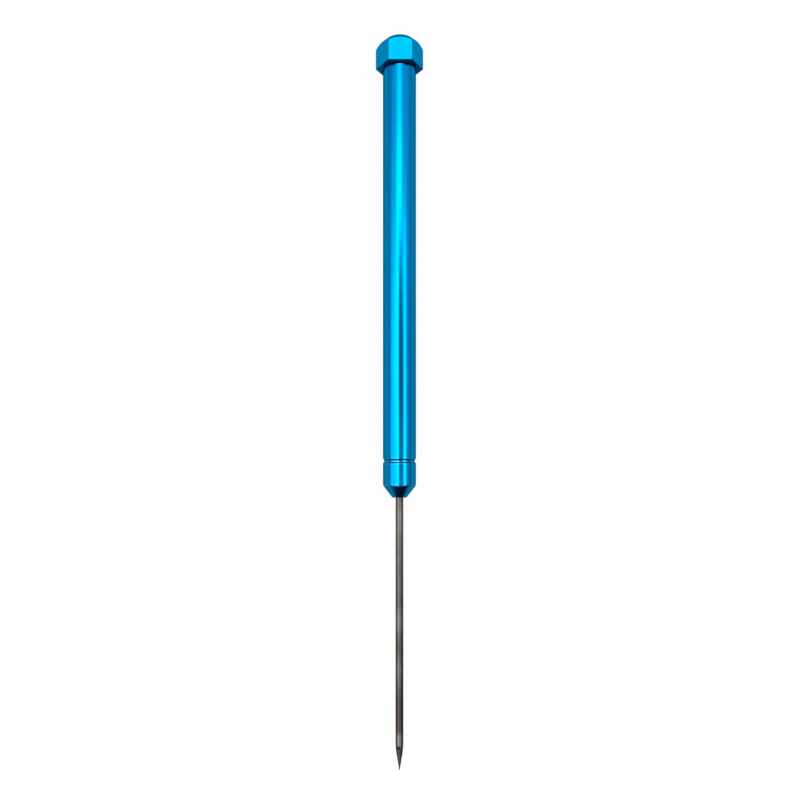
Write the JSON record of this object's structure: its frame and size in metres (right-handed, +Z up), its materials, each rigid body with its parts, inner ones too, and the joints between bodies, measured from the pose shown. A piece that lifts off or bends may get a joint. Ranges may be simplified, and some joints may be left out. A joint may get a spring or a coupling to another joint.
{
  "type": "soldering pick",
  "caption": "Slim tubular handle with a hexagonal end cap and a screw-down nose that grips a straight metal rod ground to a point.",
  "frame": {"origin": "on the bench that the tool lies on, below the middle of its overall length and below its axis", "axes": "+X along the tool's axis from the cap to the point, +Z up, square to the cap flat that the tool lies on"},
  "size_m": [0.2242, 0.0146, 0.0127],
  "materials": {
    "handle_blue": "bright blue anodised, turned and polished",
    "collet_steel": "plain turned steel",
    "rod_metal": "grey-brown drawn rod with fine lengthwise marks, ground grey at the point",
    "seal_rubber": "matt black"
  },
  "bodies": {
    "handle": {"barrel": "handle_blue", "chuck_body": "handle_blue"},
    "collet": {"collet": "collet_steel"},
    "nose_nut": {"nose_nut": "handle_blue"},
    "pick": {"pick_rod": "rod_metal"},
    "seal": {"cap_seal": "seal_rubber"},
    "end_cap": {"end_cap": "handle_blue"}
  },
  "joints": [
    {"name": "collet_travel", "type": "slide", "parent": "handle", "child": "collet", "axis": [1, 0, 0], "range_m": [0, 0.00469]},
    {"name": "nose_nut_turn", "type": "hinge", "parent": "collet", "child": "nose_nut", "pos_m": [0.02, 0, 0.00635], "axis": [1, 0, 0], "range_deg": [0, 2250]},
    {"name": "pick_slide", "type": "slide", "parent": "collet", "child": "pick", "axis": [1, 0, 0], "range_m": [-0.084, 0.025]},
    {"name": "seal_travel", "type": "slide", "parent": "handle", "child": "seal", "axis": [-1, 0, 0], "range_m": [0, 0.00506]},
    {"name": "end_cap_turn", "type": "hinge", "parent": "seal", "child": "end_cap", "pos_m": [-0.105, 0, 0.00635], "axis": [-1, 0, 0], "range_deg": [0, 2430]}
  ],
  "couplings": [
    {"joint": "nose_nut_turn", "follows": "collet_travel", "rad_per_m": 8377.6},
    {"joint": "end_cap_turn", "follows": "seal_travel", "rad_per_m": 8377.6}
  ]
}
